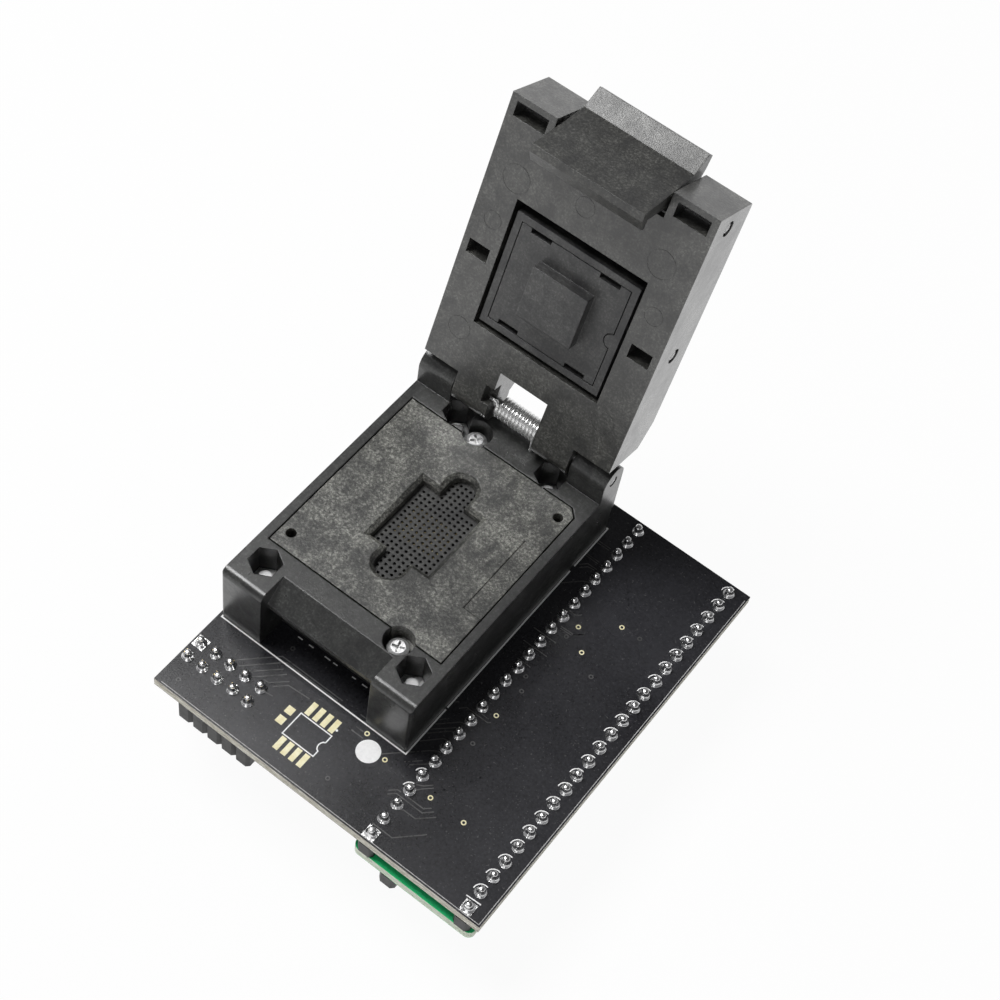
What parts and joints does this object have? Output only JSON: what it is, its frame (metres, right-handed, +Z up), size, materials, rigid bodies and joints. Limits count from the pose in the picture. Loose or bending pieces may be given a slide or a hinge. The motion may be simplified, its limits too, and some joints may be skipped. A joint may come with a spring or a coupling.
{
  "type": "chip test socket on a plug-in adapter board",
  "caption": "Clamshell ball-grid test socket with latching lid and floating nest, on a black adapter board with plug-in pin rows and a cable header.",
  "frame": {"origin": "centre of the plug-in pin pattern, on the lower face of the plug-in strips", "axes": "+X across the pin rows to the board's right edge, +Y along the rows towards the lid hinge, +Z up"},
  "size_m": [0.0528, 0.0749, 0.0735],
  "materials": {
    "black_board": "black solder mask over glass epoxy",
    "green_board": "green solder mask over glass epoxy",
    "header_plastic": "moulded, satin",
    "tinned_pins": "tin plated",
    "gold_pins": "gold flash",
    "solder": "bright solder",
    "moulded_black": "glass-filled, satin with flow marks",
    "pusher_black": "moulded, satin",
    "nest_black": "glass-filled, mottled",
    "probe_block": "plain",
    "probe_gold": "gold flash",
    "plated_screws": "nickel plated",
    "spring_steel": "bright drawn wire",
    "pin_steel": "ground"
  },
  "bodies": {
    "root": {"main_board": "black_board", "lower_board": "green_board", "upper_strip_left": "header_plastic", "upper_strip_right": "header_plastic", "upper_pins_left": "tinned_pins", "upper_pins_right": "tinned_pins", "lower_strip_left": "header_plastic", "lower_strip_right": "header_plastic", "plug_pins_left": "gold_pins", "plug_pins_right": "gold_pins", "solder_joints": "solder", "header_body": "header_plastic", "header_pins": "gold_pins", "socket_base": "moulded_black", "base_nut_1": "plated_screws", "base_nut_2": "plated_screws", "base_nut_3": "plated_screws", "base_nut_4": "plated_screws", "base_bolt_1": "plated_screws", "base_bolt_2": "plated_screws", "base_bolt_3": "plated_screws", "base_bolt_4": "plated_screws", "nest_screw_front": "plated_screws", "nest_screw_back": "plated_screws", "probe_block": "probe_block", "nest_spring_1": "spring_steel", "nest_spring_2": "spring_steel", "nest_spring_3": "spring_steel", "nest_spring_4": "spring_steel", "hinge_pin": "pin_steel"},
    "probes": {"probe_plungers": "probe_gold"},
    "nest": {"nest_plate": "nest_black", "probe_guide": "nest_black"},
    "lid": {"lid_shell": "moulded_black", "hinge_spring": "spring_steel", "pusher_pin": "pin_steel", "latch_pin": "pin_steel", "latch_spring_left": "spring_steel", "latch_spring_right": "spring_steel"},
    "pusher": {"pusher_frame": "pusher_black", "pusher_pad": "pusher_black"},
    "latch": {"latch_lever": "moulded_black"}
  },
  "joints": [
    {"name": "lid_hinge", "type": "hinge", "parent": "root", "child": "lid", "pos_m": [-0.02667, 0.02322, 0.0225], "axis": [1, 0, 0], "range_deg": [0, 107.5], "stiffness_Nm_per_rad": 0.01, "springref_deg": -51.57, "deforming": ["hinge_spring"]},
    {"name": "latch_pivot", "type": "hinge", "parent": "lid", "child": "latch", "pos_m": [-0.02667, 0.03676, 0.06132], "axis": [-1, 0, 0], "range_deg": [0, 15], "stiffness_Nm_per_rad": 0.02, "springref_deg": -17.19, "deforming": ["latch_spring_left", "latch_spring_right"]},
    {"name": "pusher_tilt", "type": "hinge", "parent": "lid", "child": "pusher", "pos_m": [-0.02667, 0.03151, 0.04149], "axis": [1, 0, 0], "range_deg": [-2, 2]},
    {"name": "nest_float", "type": "slide", "parent": "root", "child": "nest", "axis": [0, 0, -1], "range_m": [0, 0.0004], "stiffness_N_per_m": 1500, "springref_m": -0.001, "deforming": ["nest_spring_1", "nest_spring_2", "nest_spring_3", "nest_spring_4"]},
    {"name": "probe_travel", "type": "slide", "parent": "root", "child": "probes", "axis": [0, 0, -1], "range_m": [0, 0.00035], "stiffness_N_per_m": 300, "springref_m": -0.0005}
  ]
}
